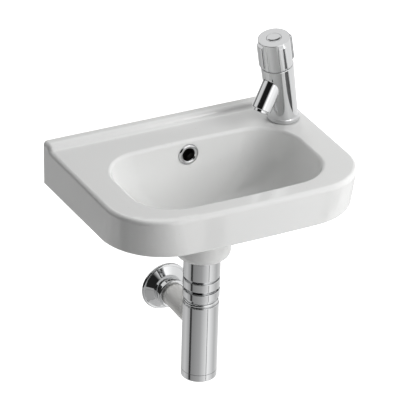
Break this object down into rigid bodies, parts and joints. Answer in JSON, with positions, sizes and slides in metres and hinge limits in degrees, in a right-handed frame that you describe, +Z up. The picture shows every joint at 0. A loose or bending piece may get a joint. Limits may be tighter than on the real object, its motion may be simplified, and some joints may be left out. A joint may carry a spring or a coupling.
{
  "type": "hand basin",
  "caption": "Wall-hung ceramic hand basin with a leaning pillar tap that turns, grid waste, overflow, chrome bottle trap with a screw-off cleaning cap, outlet pipe and sliding wall rosette.",
  "frame": {"origin": "on the wall plane, midway between the two fixing holes", "axes": "+X to the right seen from the room, +Y into the wall, +Z up"},
  "size_m": [0.36, 0.2727, 0.4664],
  "materials": {
    "glaze": "gloss white glaze",
    "chrome": "polished chrome plate on brass",
    "brass": "plain turned brass",
    "steel": "plain steel",
    "rubber": "matt black rubber",
    "disc_ceramic": "lapped ceramic",
    "plastic": "moulded grey plastic"
  },
  "bodies": {
    "fixed_parts": {"basin": "glaze", "overflow_ring": "chrome", "waste_body": "chrome", "waste_strainer": "chrome", "strainer_screw": "chrome", "waste_top_seal": "rubber", "waste_bottom_seal": "rubber", "waste_back_nut": "chrome", "trap_union_nut": "chrome", "trap_inlet_seal": "rubber", "trap_dip_tube": "brass", "trap_head_nut": "chrome", "trap_head_seal": "rubber", "trap_bottle": "chrome", "trap_outlet_pipe": "chrome", "tap_body": "chrome", "tap_base_seal": "rubber", "tap_shank": "brass", "tap_rubber_washer": "rubber", "tap_clamp_washer": "steel", "tap_fixing_nut": "brass", "tap_headwork": "brass", "headwork_seat_seal": "rubber", "fixed_valve_disc": "disc_ceramic", "aerator_housing": "chrome", "aerator_insert": "plastic", "aerator_seal": "rubber"},
    "handle": {"tap_knob": "chrome", "knob_screw": "steel", "index_cap": "chrome", "valve_spindle": "brass", "spindle_o_ring": "rubber", "spindle_clip": "steel", "moving_valve_disc": "disc_ceramic"},
    "cap_ring": {"trap_cap_o_ring": "rubber"},
    "cleaning_cap": {"trap_bottom_cap": "chrome"},
    "rosette": {"wall_rosette": "chrome", "rosette_grip_ring": "rubber"}
  },
  "joints": [
    {"name": "handle_turn", "type": "hinge", "parent": "fixed_parts", "child": "handle", "pos_m": [0.146, -0.058, 0.07], "axis": [-0.1928, -0.0779, 0.9781], "range_deg": [0, 180]},
    {"name": "cap_drop", "type": "slide", "parent": "fixed_parts", "child": "cap_ring", "axis": [0, 0, -1], "range_m": [0, 0.006]},
    {"name": "cap_turn", "type": "hinge", "parent": "cap_ring", "child": "cleaning_cap", "pos_m": [0, -0.113, -0.258], "axis": [0, 0, -1], "range_deg": [0, 720]},
    {"name": "rosette_slide", "type": "slide", "parent": "fixed_parts", "child": "rosette", "axis": [0, -1, 0], "range_m": [-0.006, 0.045]}
  ],
  "couplings": [
    {"joint": "cap_turn", "follows": "cap_drop", "rad_per_m": 2094}
  ]
}
